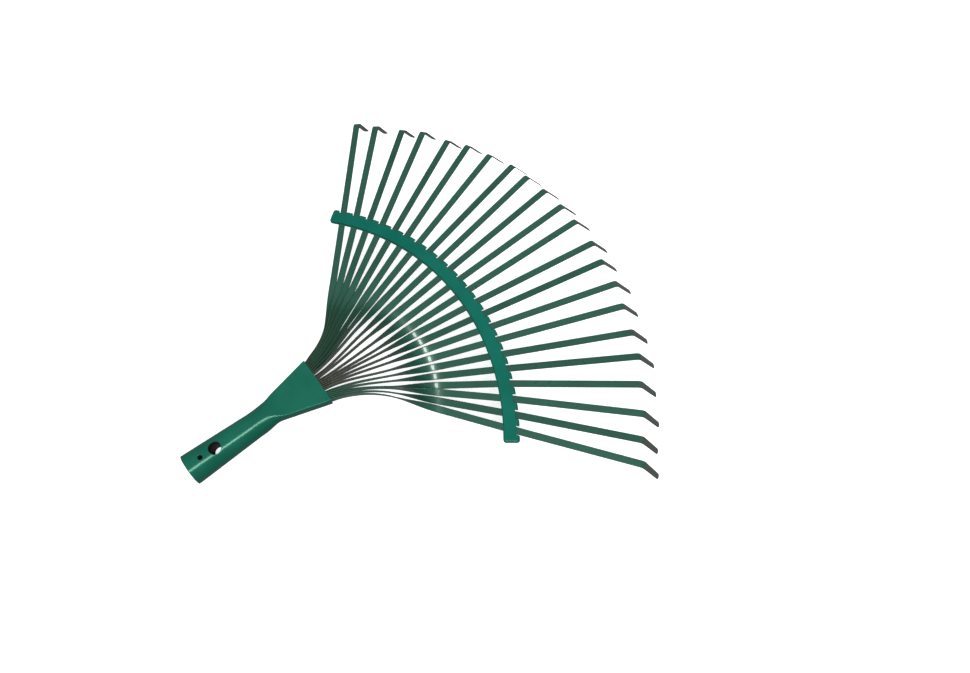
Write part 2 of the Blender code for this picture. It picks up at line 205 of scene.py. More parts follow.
# Steps of the curves
SPREAD_STEPS = 22
TWIST_STEPS = 22
RUN_STEPS = 10
ELBOW_STEPS = 10
TIP_STEPS = 5
CORNER_STEPS = 6
EDGE_STEPS = 3
CUT_EDGE_STEPS = 2
MOUTH_STEPS = 5
SCREW_STEPS = 8
BRIDGE_STEPS = 3
HANGING_STEPS = 16
TUBE_STEPS = 14
SHOULDER_STEPS = 30
THROAT_STEPS = 14
QUADRANT_STEPS = (4, 16, 12)
QUADRANT_ANGLES = (0.0, 18.0, 66.0, 90.0)
SCREW_COLUMNS = 12
HANGING_COLUMNS = 17
HOLE_RINGS = 6
FLANGE_STEPS = 3
WINDOW_STEPS = 3
BEND_STEPS = 5
WEB_STEPS = 8
TAB_STEPS = 2

# Sizes that follow
MOUTH_X = -SOCKET_LENGTH
SCREW_X = MOUTH_X + SCREW_SETBACK
HANGING_X = MOUTH_X + HANGING_SETBACK
FLAT_X = -THROAT_FLAT
SHOULDER_X = FLAT_X - SHOULDER_LENGTH
FLARE = math.tan(THROAT_FLARE)
BEND_REACH = ELBOW_BEND * math.tan(TIP_ANGLE / 2)
ROOT_SPAN = (TINE_COUNT - 1) / 2 * (TINE_THICKNESS + ROOT_GAP)
FRONT_SPAN = ROOT_SPAN + ROOT_LENGTH * FLARE
THROAT_HALF_WIDTH = FRONT_SPAN + TINE_THICKNESS / 2 + SIDE_CLEARANCE + SHEET
THROAT_HALF_HEIGHT = TINE_WIDTH / 2 + SEAT_CLEARANCE + SHEET
WINDOW_HALF_WIDTH = TINE_WIDTH / 2 + SEAT_CLEARANCE
WINDOW_HALF_HEIGHT = TINE_THICKNESS / 2 + SEAT_CLEARANCE
NOTCH_HALF_WIDTH = TINE_WIDTH / 2 + TAB_CLEARANCE
WEB_LEVEL = TINE_THICKNESS / 2 + WEB_CLEARANCE + SHEET / 2
BAR_REACH = BAR_RADIUS * BAR_TURN
BAR_END = 1 + BAR_OVERHANG / BAR_REACH


def ease(share):
    return share * share * (3 - 2 * share)


def blend(first, second, share):
    return first + (second - first) * share


def rise(value, low, high):
    """0 below low, 1 above high and a smooth rise between them."""
    return ease(min(max((value - low) / (high - low), 0.0), 1.0))


def steps(first, last, count):
    return [blend(first, last, step / count) for step in range(count + 1)]


def heading_vector(heading):
    return Vector((math.cos(heading), math.sin(heading), 0.0))


def pitch_vector(pitch):
    return Vector((math.cos(pitch), 0.0, math.sin(pitch)))


def corner_inset(distance, corner):
    """How far a rounded end's side has drawn in at a distance from the end."""
    within = max(corner - distance, 0.0)
    return corner - math.sqrt(corner * corner - within * within)


def end_distances(corner):
    """Distances from an end at which its rounded corner gets a ring, nearest last."""
    return [corner * (1 - math.sin(angle)) for angle in steps(0.0, math.pi / 2, CORNER_STEPS)]


# Lay of the socket


def throat_point(place):
    """The middle of the throat at a place behind its front edge."""
    return pitch_vector(THROAT_PITCH) * place


def throat_up():
    return pitch_vector(THROAT_PITCH + math.pi / 2)


def tube_point(place):
    """The middle of the pole socket at a place behind the throat's front edge."""
    neck = Vector((SHOULDER_X, 0.0, -NECK_DROP))
    return neck + pitch_vector(SOCKET_PITCH) * (place - SHOULDER_X)


def tube_up():
    return pitch_vector(SOCKET_PITCH + math.pi / 2)


def turned(up, turn):
    """The left and up directions of a ring that is turned to the right round the socket."""
    left = LEFT * math.cos(turn) + up * math.sin(turn)
    return left, up * math.cos(turn) - LEFT * math.sin(turn)


def head_frame():
    """The head's own frame in the row frame, found from the record's pole socket."""
    mounts = {mount["name"]: mount for mount in frame["record"]["mounts"]}
    mouth = mounts["pole_socket"]
    outward = Vector(mouth["axis"])
    pitch = math.atan2(-outward.z, -outward.x) - SOCKET_PITCH
    turn = Matrix.Rotation(-pitch, 4, "Y")
    return Matrix.Translation(Vector(mouth["pos_m"]) - turn @ tube_point(MOUTH_X)) @ turn


HEAD = head_frame()


# Lay of the fan


def arch_point(side):
    """The middle of the crossbar at a side: an arch in plan that also sags towards its ends."""
    place = heading_vector(side * BAR_TURN) * BAR_RADIUS
    sag = place.y * place.y / (2 * DISH_RADIUS)
    return place - Vector((BAR_SETBACK, 0.0, sag))


def arch_tangent(side):
    turn = side * BAR_TURN
    slope = BAR_RADIUS * math.sin(turn) * math.cos(turn) / DISH_RADIUS
    return Vector((-math.sin(turn), math.cos(turn), -slope)).normalized()


def elbow_plan(side):
    return heading_vector(side * ELBOW_TURN) * ELBOW_RADIUS - Vector((ELBOW_SETBACK, 0.0, 0.0))


def tine_side(order):
    return 1 - 2 * order / (TINE_COUNT - 1)


class Course:
    """The straight run of a tine at a side: through the crossbar's window and out to the elbow.

    Sway, bow and reach are its bends in use, and crowd its shift to the left in the throat.
    """

    def __init__(self, side, sway=0.0, bow=0.0, reach=0.0, crowd=0.0):
        self.front = LEFT * (side * FRONT_SPAN + crowd)
        self.front_ahead = (pitch_vector(THROAT_PITCH) + LEFT * side * FLARE).normalized()
        self.window = arch_point(side)
        self.plan = self.window - UP * self.window.z
        run = elbow_plan(side) - self.plan
        droop = math.atan2(-self.window.z, (self.plan - self.front).length)
        self.tangent = arch_tangent(side)
        self.ahead = run.normalized() * math.cos(droop) - UP * math.sin(droop)
        self.face = self.ahead.cross(self.tangent).normalized()
        self.left = self.face.cross(self.ahead)
        self.outward = self.tangent.cross(self.face)
        self.skew = math.atan2(self.ahead.dot(self.tangent), self.ahead.dot(self.outward))
        self.elbow_distance = run.length / math.cos(droop) + reach
        self.delay = TWIST_DELAY * max(-side, 0.0)
        self.upright = math.pi / 2 + blend(BOW_LEAN, LEFT_LEAN, rise(side, *LEAN_CHANGE))
        self.sway = sway
        self.bow = bow
        self.swayed = (self.ahead * self.elbow_distance + self.left * sway).normalized()

    def at(self, distance):
        """The point on the run at a distance beyond the window."""
        aside = self.sway * max(distance / self.elbow_distance, 0.0)
        aside += self.bow * min(max(-distance / BOW_LENGTH, 0.0), 1.0)
        return self.window + self.ahead * distance + self.left * aside

    def distance_to(self, radius):
        """The distance at which the run is a radius away from the throat in plan."""
        flow = self.ahead.xy
        pace = flow.length_squared
        along = self.plan.xy.dot(flow)
        spare = self.plan.length_squared - radius * radius
        return (math.sqrt(along * along - pace * spare) - along) / pace

    def spacing(self, other, distance):
        """How far to the side of this run another run lies at a distance."""
        apart = other.window - self.at(distance)
        level = apart - other.ahead * (apart.dot(self.ahead) / other.ahead.dot(self.ahead))
        return abs(level.dot(self.left))

    def station(self, distance, roll=0.0):
        ahead = self.ahead if distance < 0.0 else self.swayed
        return Station(self.at(distance), ahead, self.face, roll, distance - self.elbow_distance)

    def bent_station(self, along, drop, bend, past, width=TINE_WIDTH):
        """A cross-section beyond the elbow's corner, turned down by a bend."""
        centre = self.at(self.elbow_distance) + self.swayed * along - self.face * drop
        ahead = self.swayed * math.cos(bend) - self.face * math.sin(bend)
        face = self.face * math.cos(bend) + self.swayed * math.sin(bend)
        return Station(centre, ahead, face, 0.0, past, width)


class Station:
    """One cross-section of a tine: its centre, directions, width and distance past the elbow."""

    def __init__(self, centre, ahead, face, roll, past, width=TINE_WIDTH):
        left = face.cross(ahead)
        self.centre = centre
        self.across = left * math.cos(roll) + face * math.sin(roll)
        self.through = face * math.cos(roll) - left * math.sin(roll)
        self.past = past
        self.width = width

    def points(self):
        """The strip's outline with rolled edges, and the share of the half width at each point."""
        half = self.width / 2
        thick = TINE_THICKNESS / 2
        for turn, (right, high) in enumerate(((1, 1), (-1, 1), (-1, -1), (1, -1))):
            for angle in steps(turn * math.pi / 2, (turn + 1) * math.pi / 2, EDGE_STEPS):
                across = right * (half - ROLLED_EDGE) + ROLLED_EDGE * math.cos(angle)
                level = high * (thick - ROLLED_EDGE) + ROLLED_EDGE * math.sin(angle)
                yield self.centre + self.across * across + self.through * level, across / half


def twist_radius():
    """How far from the throat the outermost runs, the closest pair, can first lie flat."""
    outer, inner = Course(tine_side(0)), Course(tine_side(1))
    far = outer.elbow_distance
    at_window = outer.spacing(inner, 0.0)
    at_elbow = outer.spacing(inner, far)
    apart = TINE_WIDTH + STRIP_CLEARANCE
    return outer.at(far * (apart - at_window) / (at_elbow - at_window)).xy.length


TWIST_END = twist_radius()


def twist_distances(course):
    """Distances along the run at which the twist starts and ends; it comes later to the right."""
    last = TWIST_END + course.delay
    return course.distance_to(last - TWIST_LENGTH), course.distance_to(last)


def root_stations(course):
    """The root's cut end inside the throat, marked as far behind the elbow."""
    slant = course.front_ahead.dot(pitch_vector(THROAT_PITCH))
    back = course.front - course.front_ahead * (ROOT_LENGTH / slant)
    return [Station(back, course.front_ahead, throat_up(), math.pi / 2, -2 * ELBOW_RADIUS)]


def spread_stations(course):
    """The bow from the throat to the start of the twist, standing on edge."""
    front = course.front
    twist = twist_distances(course)[0]
    end = course.at(twist)
    reach = (end - front).length
    first_pull = course.front_ahead * reach
    last_pull = course.ahead * reach
    stations = []
    for share in steps(0.0, 1.0, SPREAD_STEPS)[:-1]:
        rest = 1 - share
        centre = front * (rest * rest * (1 + 2 * share)) + end * ease(share)
        centre += first_pull * (share * rest * rest) - last_pull * (share * share * rest)
        flow = (end - front) * (6 * share * rest) + first_pull * (rest * (1 - 3 * share))
        flow += last_pull * (share * (3 * share - 2))
        ahead = flow.normalized()
        left = blend(throat_up(), course.face, share).cross(ahead).normalized()
        past = twist - course.elbow_distance - reach * rest
        roll = blend(math.pi / 2, course.upright, rise(share, 0.0, BOW_RISE))
        stations.append(Station(centre, ahead, ahead.cross(left), roll, past))
    return stations


def twist_stations(course):
    first, last = twist_distances(course)
    return [course.station(blend(first, last, share), course.upright * (1 - ease(share)))
            for share in steps(0.0, 1.0, TWIST_STEPS)]


def run_stations(course):
    start = twist_distances(course)[1]
    end = course.elbow_distance - BEND_REACH
    back = [course.station(distance) for distance in steps(start, 0.0, RUN_STEPS)[1:-1]]
    return back + [course.station(distance) for distance in steps(0.0, end, RUN_STEPS)[:-1]]


def elbow_stations(course):
    stations = []
    for bend in steps(0.0, TIP_ANGLE, ELBOW_STEPS):
        along = ELBOW_BEND * math.sin(bend) - BEND_REACH
        drop = ELBOW_BEND * (1 - math.cos(bend))
        past = ELBOW_BEND * (bend - TIP_ANGLE / 2)
        stations.append(course.bent_station(along, drop, bend, past))
    return stations


def tip_stations(course):
    reaches = steps(BEND_REACH, TIP_LENGTH - TIP_CORNER, TIP_STEPS)[1:-1]
    reaches += [TIP_LENGTH - distance for distance in end_distances(TIP_CORNER)]
    stations = []
    for reach in reaches:
        width = TINE_WIDTH * blend(1.0, TIP_TAPER, reach / TIP_LENGTH)
        width -= 2 * corner_inset(TIP_LENGTH - reach, TIP_CORNER)
        along = reach * math.cos(TIP_ANGLE)
        drop = reach * math.sin(TIP_ANGLE)
        stations.append(course.bent_station(along, drop, TIP_ANGLE, reach, width))
    return stations


def bundling(order):
    """How far to the left a tine is crowded in its bundle, and how far its bow is tinted
    brown-grey.
    """
    number = order + 1
    for first, last, middle, bow_brown_share in BUNDLES:
        if first <= number <= last:
            return BUNDLE_CROWDING * (number - middle), bow_brown_share


def tine_mesh(order, tone):
    """A strip with its marks for the finish at each point."""
    sway, bow, reach = (bend * MM for bend in TINE_BENDS[order])
    crowd, bow_brown_share = bundling(order)
    course = Course(tine_side(order), sway, bow, reach, crowd)
    stations = root_stations(course) + spread_stations(course) + twist_stations(course)
    stations += run_stations(course) + elbow_stations(course) + tip_stations(course)
    mesh = bmesh.new()
    layers = {name: mesh.verts.layers.float.new(name) for name in STRIP_MARKS}
    rows = []
    for station in stations:
        row = []
        for point, across in station.points():
            vertex = mesh.verts.new(point)
            for name, value in zip(STRIP_MARKS, (across, station.past, tone, bow_brown_share)):
                vertex[layers[name]] = value
            row.append(vertex)
        rows.append(row)
    cap_rows(mesh, rows)
    join_rows(mesh, rows, True)
    return mesh


def cap_rows(mesh, rows):
    """Close the first and the last row of points with a face."""
    mesh.faces.new(rows[0])
    mesh.faces.new(rows[-1][::-1])


def join_rows(mesh, rows, closed, left_out=lambda row, column: False):
    """Join rows of points with quads, apart from the cells that are left out."""
    for number, (row, following) in enumerate(zip(rows, rows[1:])):
        count = len(row)
        for here in range(count if closed else count - 1):
            there = (here + 1) % count
            if not left_out(number, here):
                mesh.faces.new((row[there], row[here], following[here], following[there]))


def drop_loose_points(mesh):
    """Delete the points that the left-out cells have left without a face."""
    loose = [vertex for vertex in mesh.verts if not vertex.link_faces]
    bmesh.ops.delete(mesh, geom=loose, context="VERTS")


# Socket


def quadrant_angles():
    """Angles of one quarter of the socket's rings: side, corner and top, shared out in steps."""
    angles = []
    for part, count in enumerate(QUADRANT_STEPS):
        angles += steps(QUADRANT_ANGLES[part], QUADRANT_ANGLES[part + 1], count)[:-1]
    return [math.radians(angle) for angle in angles] + [math.pi / 2]


def round_quarter(radius):
    return [(radius * math.cos(angle), radius * math.sin(angle)) for angle in quadrant_angles()]


def flat_quarter(half_width, half_height, corner):
    """A quarter of a rounded rectangle with the same number of points as the round one."""
    side, turn, top = QUADRANT_STEPS
    points = [(half_width, height) for height in steps(0.0, half_height - corner, side)[:-1]]
    for angle in steps(0.0, math.pi / 2, turn)[:-1]:
        points.append((half_width - corner + corner * math.cos(angle),
                       half_height - corner + corner * math.sin(angle)))
    points += [(width, half_height) for width in steps(half_width - corner, 0.0, top)]
    return points


def full_ring(quarter, centre, left, up, lift):
    """Mirror a quarter into a closed ring round a centre, and lift it all but its top."""
    half = quarter + [(-width, height) for width, height in quarter[-2::-1]]
    whole = half + [(width, -height) for width, height in half[-2:0:-1]]
    top = quarter[-1][1]
    return [centre + left * width + up * (height + lift * (1 - max(height, 0.0) / top))
            for width, height in whole]


def tube_radius(place):
    """The radius of the middle of the sheet in the round part of the socket."""
    taper = min((place - MOUTH_X) / (SHOULDER_X - MOUTH_X), 1.0)
    return (blend(SOCKET_DIAMETER, NECK_DIAMETER, taper) - SHEET) / 2


def throat_half_width(place):
    """Half the width of the flat part at a place: a pinched neck that sweeps out into the flare."""
    neck = NECK_DIAMETER / 2 - NECK_PINCH
    flare = THROAT_HALF_WIDTH + place * FLARE
    return (neck + flare + math.hypot(flare - neck, NECK_SWEEP)) / 2


def socket_ring(place):
    """The middle of the socket's sheet at a place: round, flat or between the two."""
    inset = SHEET / 2
    half_width = throat_half_width(place) - inset
    flat = flat_quarter(half_width, THROAT_HALF_HEIGHT - inset, THROAT_CORNER - inset)
    share = rise(place, SHOULDER_X + SHOULDER_WAIT, FLAT_X + SHOULDER_RUNOUT)
    quarter = []
    for around, across in zip(round_quarter(tube_radius(place)), flat):
        quarter.append((blend(around[0], across[0], share), blend(around[1], across[1], share)))
    centre = blend(tube_point(place), throat_point(place), share)
    up = blend(tube_up(), throat_up(), share).normalized()
    turn = HOLE_TURN * (1 - rise(place, HANGING_X + HANGING_PATCH, SHOULDER_X))
    lead = rise(place, SHOULDER_X + SHOULDER_LIFT, FLAT_X + SHOULDER_LIFT) - share
    lift = lead * (throat_point(place) - tube_point(place)).z
    return full_ring(quarter, centre, *turned(up, turn), lift)


class Hole:
    """A round hole in the tube's upper (1) or lower (-1) wall, turned round it to the right."""

    def __init__(self, places, centre, radius, reach, columns, wall):
        self.places = places
        self.centre = centre
        self.radius = radius
        self.wall = wall
        nearest = [min(range(len(places)), key=lambda row: abs(places[row] - end))
                   for end in (centre - reach, centre + reach)]
        self.first, self.last = nearest
        middle = sum(QUADRANT_STEPS) * (1 if wall > 0 else 3)
        self.columns = list(range(middle - columns, middle + columns + 1))

    def covers(self, row, column):
        inside = self.columns[0] <= column < self.columns[-1]
        return inside and self.first <= row < self.last

    def border(self):
        """The square of points round the covered cells, as rows and columns."""
        square = [(self.first, column) for column in self.columns]
        square += [(row, self.columns[-1]) for row in range(self.first + 1, self.last)]
        square += [(self.last, column) for column in reversed(self.columns)]
        return square + [(row, self.columns[0]) for row in range(self.last - 1, self.first, -1)]

    def drill(self, mesh, rows):
        """Fill the covered cells with rings that run from the round hole out to the square."""
        square = [(self.places[row], rows[row][column]) for row, column in self.border()]
        left, up = turned(tube_up(), HOLE_TURN)
        rings = []
        for share in steps(0.0, 1.0, HOLE_RINGS)[:-1]:
            ring = []
            for row_place, vertex in square:
                aside = (vertex.co - tube_point(row_place)).dot(left)
                away = Vector((row_place - self.centre, aside))
                spot = blend(away.normalized() * self.radius, away, share)
                place = self.centre + spot.x
                level = math.sqrt(tube_radius(place) ** 2 - spot.y ** 2)
                point = tube_point(place) + left * spot.y + up * (self.wall * level)
                ring.append(mesh.verts.new(point))
            rings.append(ring)
        join_rows(mesh, rings + [[vertex for _, vertex in square]], True)


def socket_places():
    """Places along the socket, mouth first, with rows at the ends of each hole's square."""
    stops = ((MOUTH_X, MOUTH_STEPS), (SCREW_X - SCREW_PATCH, SCREW_STEPS),
             (SCREW_X + SCREW_PATCH, BRIDGE_STEPS), (HANGING_X - HANGING_PATCH, HANGING_STEPS),
             (HANGING_X + HANGING_PATCH, TUBE_STEPS), (SHOULDER_X, SHOULDER_STEPS),
             (FLAT_X, THROAT_STEPS), (0.0, 0))
    places = []
    for (start, count), (end, _) in zip(stops, stops[1:]):
        places += steps(start, end, count)[:-1]
    return places + [0.0]


def socket_mesh():
    places = socket_places()
    mesh = bmesh.new()
    rows = [[mesh.verts.new(point) for point in socket_ring(place)] for place in places]
    hanging = (HANGING_X, HANGING_HOLE / 2, HANGING_PATCH, HANGING_COLUMNS)
    screw = (SCREW_X, SCREW_HOLE / 2, SCREW_PATCH, SCREW_COLUMNS)
    holes = [Hole(places, *hanging, 1), Hole(places, *hanging, -1), Hole(places, *screw, 1)]
    join_rows(mesh, rows, True,
              lambda row, column: any(hole.covers(row, column) for hole in holes))
    for hole in holes:
        hole.drill(mesh, rows)
    drop_loose_points(mesh)
    return mesh


# Crossbar


class Column:
    """One line across the crossbar: how its tab, sides and top draw in, and the gaps beside it."""

    def __init__(self, arc, trim=0.0, inset=0.0, drop=0.0, gaps=()):
        side = arc / BAR_REACH
        self.course = Course(side)
        self.trim = trim
        self.inset = inset
        self.drop = drop
        self.gaps = gaps
        last = 1 + NOTCH_HALF_WIDTH / BAR_REACH
        self.skew = self.course.skew * min((BAR_END - abs(side)) / (BAR_END - last), 1.0)

    def points(self):
        course = self.course
        for out, level, _ in bar_line(self.inset, self.trim):
            aside = out * math.tan(self.skew)
            height = level - self.drop * (1 - (WEB_LEVEL - level) / FLANGE_DEPTH)
            across = course.outward * out + course.tangent * aside
            yield course.window + across + course.face * height


def end_columns(hand):
    """Lines of the bar's left (1) or right (-1) end, outermost last, down to an end wall."""
    corner = BAR_END_CORNER - SHEET / 2
    end = BAR_END * BAR_REACH - SHEET / 2
    return [Column(hand * (end - distance), 0.0, corner_inset(distance, corner),
                   corner_inset(distance, BAR_BEND)) for distance in end_distances(corner)]


def bar_columns():
    """Lines across the bar from its right end to its left: window, tab, window and so on."""
    corner = [(TAB_CORNER * (1 - math.cos(angle)), TAB_CORNER * (1 - math.sin(angle)))
              for angle in steps(math.pi / 2, 0.0, CORNER_STEPS)]
    columns = end_columns(-1)[::-1]
    for order in reversed(range(TINE_COUNT)):
        side = tine_side(order)
        middle = side * BAR_REACH
        slant = math.cos(Course(side).skew)
        notch = NOTCH_HALF_WIDTH / slant
        window = WINDOW_HALF_WIDTH / slant
        columns += [Column(middle - notch - away, trim) for away, trim in corner[:-1]]
        columns.append(Column(middle - notch, TAB_CORNER, gaps=("notch",)))
        columns += [Column(middle + across, TAB_CORNER, gaps=("notch", "window"))
                    for across in steps(-window, window, WINDOW_STEPS)[:-1]]
        columns.append(Column(middle + window, TAB_CORNER, gaps=("notch",)))
        columns += [Column(middle + notch + away, trim) for away, trim in reversed(corner)]
    return columns + end_columns(1)


def bar_line(inset, trim):
    """The middle of the channel's sheet as (out, level, gap): inner flange, web, then tab.

    A gap names the opening that the cell after the point belongs to.
    """
    inner = -BAR_WIDTH / 2 + SHEET / 2 + inset
    outer = BAR_WIDTH / 2 - BAR_BEND * math.sin(TAB_ANGLE) - inset
    notch = BAR_WIDTH / 2 - NOTCH_DEPTH - inset
    bend_level = WEB_LEVEL - BAR_BEND
    window_lean = -math.acos((WINDOW_HALF_HEIGHT - bend_level) / BAR_BEND)
    flange = steps(WEB_LEVEL - FLANGE_DEPTH, -WINDOW_HALF_HEIGHT, FLANGE_STEPS)
    line = [(inner, level, "") for level in flange[:-1]]
    line += [(inner, level, "window") for level in (-WINDOW_HALF_HEIGHT, bend_level)]
    for lean in steps(window_lean, 0.0, BEND_STEPS):
        line.append((inner + BAR_BEND + BAR_BEND * math.sin(lean),
                     bend_level + BAR_BEND * math.cos(lean), ""))
    line += [(out, WEB_LEVEL, "") for out in steps(inner + BAR_BEND, notch, WEB_STEPS)[1:-1]]
    line.append((notch, WEB_LEVEL, "notch"))
    for lean in steps(0.0, TAB_ANGLE, BEND_STEPS):
        line.append((outer + BAR_BEND * math.sin(lean),
                     bend_level + BAR_BEND * math.cos(lean), "notch"))
    out, level, _ = line[-1]
    for reach in steps(0.0, TAB_LENGTH - trim, TAB_STEPS)[1:]:
        line.append((out + reach * math.cos(TAB_ANGLE),
                     level - reach * math.sin(TAB_ANGLE), "notch"))
    return line


def crossbar_mesh():
    columns = bar_columns()
    mesh = bmesh.new()
    rows = [[mesh.verts.new(point) for point in column.points()] for column in columns]
    gaps = [gap for _, _, gap in bar_line(0.0, 0.0)]
    join_rows(mesh, rows, False, lambda row, place: gaps[place] in columns[row].gaps)
    cap_rows(mesh, rows)
    drop_loose_points(mesh)
    return mesh


# Pieces


def mark_rim(mesh):
    """Mark each point of an open sheet with its distance from the nearest cut edge."""
    rim = [vertex for vertex in mesh.verts if vertex.is_boundary]
    tree = KDTree(len(rim))
    for number, vertex in enumerate(rim):
        tree.insert(vertex.co, number)
    tree.balance()
    layer = mesh.verts.layers.float.new("from_rim")
    for vertex in mesh.verts:
        vertex[layer] = tree.find(vertex.co)[2]


def add_piece(name, mesh, node, finish):
    bmesh.ops.recalc_face_normals(mesh, faces=mesh.faces)
    data = bpy.data.meshes.new(name)
    mesh.to_mesh(data)
    mesh.free()
    data.transform(HEAD)
    data.shade_smooth()
    data.materials.append(finish)
    piece = bpy.data.objects.new(name, data)
    bpy.context.collection.objects.link(piece)
    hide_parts(node)
    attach(piece, "root")
    return piece


def thicken(piece, back):
    """Give a sheet its thickness, a finish for its back and broken cut edges."""
    piece.data.materials.append(back)
    shell = piece.modifiers.new("sheet", "SOLIDIFY")
    shell.material_offset = 1
    shell.thickness = SHEET
    shell.offset = 0.0
    shell.use_even_offset = True
    edge = piece.modifiers.new("cut_edges", "BEVEL")
    edge.width = CUT_EDGE
    edge.segments = CUT_EDGE_STEPS
    edge.limit_method = "ANGLE"
    edge.angle_limit = CUT_EDGE_ANGLE
    edge.use_clamp_overlap = False


def level_shading(piece):
    piece.modifiers.new("flat_faces", "WEIGHTED_NORMAL").keep_sharp = True


def add_sheet(name, mesh, node, finish, back):
    """Add a piece of sheet that is drawn as the middle of its thickness."""
    mark_rim(mesh)
    piece = add_piece(name, mesh, node, finish)
    thicken(piece, back)
    level_shading(piece)


# Finishes


class Shade:
    """A shader socket that takes part in expressions."""

    def __init__(self, finish, socket):
        self.finish = finish
        self.socket = socket

    def maths(self, operation, first, second):
        return self.finish.node("ShaderNodeMath", {"operation": operation}, {0: first, 1: second})

    def __add__(self, other):
        return self.maths("ADD", self, other)

    def __radd__(self, other):
        return self.maths("ADD", other, self)

    def __sub__(self, other):
        return self.maths("SUBTRACT", self, other)

    def __rsub__(self, other):
        return self.maths("SUBTRACT", other, self)

    def __mul__(self, other):
        return self.maths("MULTIPLY", self, other)

    def __rmul__(self, other):
        return self.maths("MULTIPLY", other, self)

    def __abs__(self):
        return self.maths("ABSOLUTE", self, 0.0)


class Finish:
    """A material whose shader has some sockets fixed and the others fed by expressions."""

    def __init__(self, name, fixed):
        self.material = bpy.data.materials.new(name)
        self.material.use_nodes = True
        self.tree = self.material.node_tree
        self.shader = self.tree.nodes["Principled BSDF"]
        for socket, value in fixed.items():
            self.shader.inputs[socket].default_value = value
        self.place = self.node("ShaderNodeTexCoord", {}, {}, "Object")

    def node(self, kind, settings, sockets, output=0):
        """Add a node: its settings first, then the values or links of its sockets."""
        made = self.tree.nodes.new(kind)
        for setting, value in settings.items():
            setattr(made, setting, value)
        for socket, value in sockets.items():
            self.feed(made.inputs[socket], value)
        return Shade(self, made.outputs[output])

    def feed(self, socket, value):
        if isinstance(value, Shade):
            self.tree.links.new(value.socket, socket)
        else:
            socket.default_value = value

    def mark(self, name):
        return self.node("ShaderNodeAttribute", {"attribute_name": name}, {}, "Fac")

    def noise(self, scale, detail):
        return self.node("ShaderNodeTexNoise", {},
                         {"Vector": self.place, "Scale": scale, "Detail": detail})

    def rise(self, value, low, high):
        """0 below low, 1 above high and a smooth rise between them."""
        return self.node("ShaderNodeMapRange", {"interpolation_type": "SMOOTHSTEP"},
                         {"Value": value, "From Min": low, "From Max": high})

    def mix(self, share, first, second):
        return self.node("ShaderNodeMix", {"data_type": "RGBA"}, {0: share, 6: first, 7: second}, 2)

    def bump(self, height, strength, distance):
        return self.node("ShaderNodeBump", {},
                         {"Height": height, "Strength": strength, "Distance": distance})

    def shade(self, sockets):
        """Feed the shader's own sockets, and give the finished material."""
        for socket, value in sockets.items():
            self.feed(self.shader.inputs[socket], value)
        return self.material


def paint(red, green, blue):
    return (red, green, blue, 1.0)


# Grey-brown of the tips: a painted reflection of the pale floor, partly scuffed steel
TIP_REFLECTION_GREY = paint(0.10, 0.085, 0.07)
PRIMER = paint(0.040, 0.030, 0.023)
# Brown-grey and deep green that tint the bow of each tine
BOW_BROWN_GREY = paint(0.046, 0.038, 0.026)
BOW_DEEP_GREEN = paint(0.006, 0.110, 0.056)
EDGE_STEEL = paint(0.070, 0.056, 0.036)
FLOOR_GLOW = paint(1.0, 1.0, 1.0)
SKY = paint(0.92, 0.96, 1.0)

# Thin coat and full coat of each enamel and of the bore's painted shade, and the floor's dim and
# bright patches
SOCKET_COATS = (paint(0.009, 0.120, 0.080), paint(0.006, 0.102, 0.066))
# Near-black colours of the socket's bore: painted shade inside the tube
BORE_SHADE_COATS = (paint(0.010, 0.008, 0.007), paint(0.004, 0.005, 0.004))
BAR_COATS = (paint(0.004, 0.130, 0.093), paint(0.002, 0.112, 0.079))
TINE_COATS = (paint(0.018, 0.086, 0.059), paint(0.012, 0.067, 0.045))
FLOOR_COATS = (paint(0.86, 0.86, 0.855), paint(0.90, 0.90, 0.895))


def sheet_enamel(name, thin, full):
    """Glossy enamel on pressed sheet: a cloudy coat with a few nibs, chipped along cut edges."""
    finish = Finish(name, {"Specular IOR Level": 0.38, "Specular Tint": paint(0.5, 1.0, 0.76)})
    cloud = finish.noise(*SHEET_CLOUD)
    peel = finish.noise(*SHEET_PEEL)
    nibs = finish.rise(finish.noise(*SHEET_GRIT), *SHEET_NIBS)
    edge = 1 - finish.rise(finish.mark("from_rim") + (cloud - 0.5) * RIM_WAVER, *RIM_WEAR)
    chips = edge * finish.rise(finish.noise(*SHEET_FLAKE), *SHEET_CHIPS)
    coat = finish.mix(finish.rise(cloud, *SHEET_COAT), thin, full)
    marked_coat = finish.mix(chips * 0.7, coat, PRIMER)
    relief = peel * 0.1 + nibs * 0.5 - chips * 0.8
    return finish.shade({"Base Color": finish.mix(nibs * 0.35, marked_coat, thin),
                         "Roughness": 0.20 + (cloud - 0.5) * 0.08 + chips * 0.25,
                         "Normal": finish.bump(relief, 0.18, SHEET_RELIEF)})


def bore_shade_finish(name, thin, full):
    """A dull, near-black back for the sheet: painted shade inside the socket's bore."""
    finish = Finish(name, {})
    cloud = finish.noise(*BACK_CLOUD)
    return finish.shade({"Base Color": finish.mix(finish.rise(cloud, *BACK_COAT), thin, full),
                         "Roughness": 0.62 + (cloud - 0.5) * 0.2,
                         "Normal": finish.bump(finish.noise(*BACK_GRAIN), 0.2, BACK_RELIEF)})


